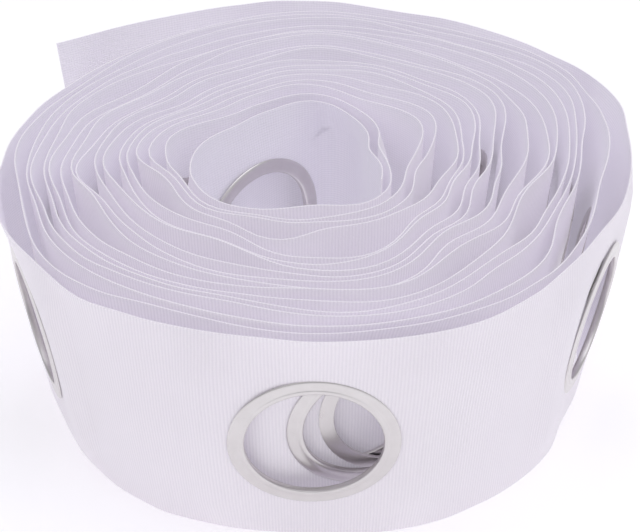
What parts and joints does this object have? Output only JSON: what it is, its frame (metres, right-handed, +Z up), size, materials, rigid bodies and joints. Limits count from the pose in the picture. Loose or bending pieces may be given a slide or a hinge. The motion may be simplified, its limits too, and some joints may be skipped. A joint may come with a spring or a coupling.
{
  "type": "roll of curtain heading tape",
  "caption": "Loose roll of white stiff ribbed curtain heading tape with large round metal eyelets, standing on its edge with an open core and a free outer end.",
  "frame": {"origin": "under the middle of the roll's bounding box, on the plane its lower edges stand on", "axes": "+Z up along the roll's axis, -Y towards the front eyelet, +X to the right seen from the front"},
  "size_m": [0.2258, 0.2322, 0.09],
  "materials": {
    "tape": "ribbed weave, matt",
    "ring": "satin"
  },
  "bodies": {
    "root": {"core_turn": "tape", "turns_1": "tape", "turns_2": "tape", "turns_3": "tape", "turns_4": "tape", "turns_5": "tape", "turns_6": "tape", "turns_7": "tape", "turns_8": "tape", "second_turn": "tape", "outer_turn_left": "tape", "outer_turn_front": "tape", "outer_turn_right": "tape", "outer_turn_back": "tape", "outer_turn_tail": "tape", "ring_dome_tail": "ring", "ring_washer_tail": "ring", "ring_dome_back": "ring", "ring_washer_back": "ring", "ring_dome_right": "ring", "ring_washer_right": "ring", "ring_dome_front": "ring", "ring_washer_front": "ring", "ring_dome_left": "ring", "ring_washer_left": "ring", "ring_dome_second": "ring", "ring_washer_second": "ring", "ring_dome_core": "ring", "ring_washer_core": "ring"}
  },
  "joints": []
}
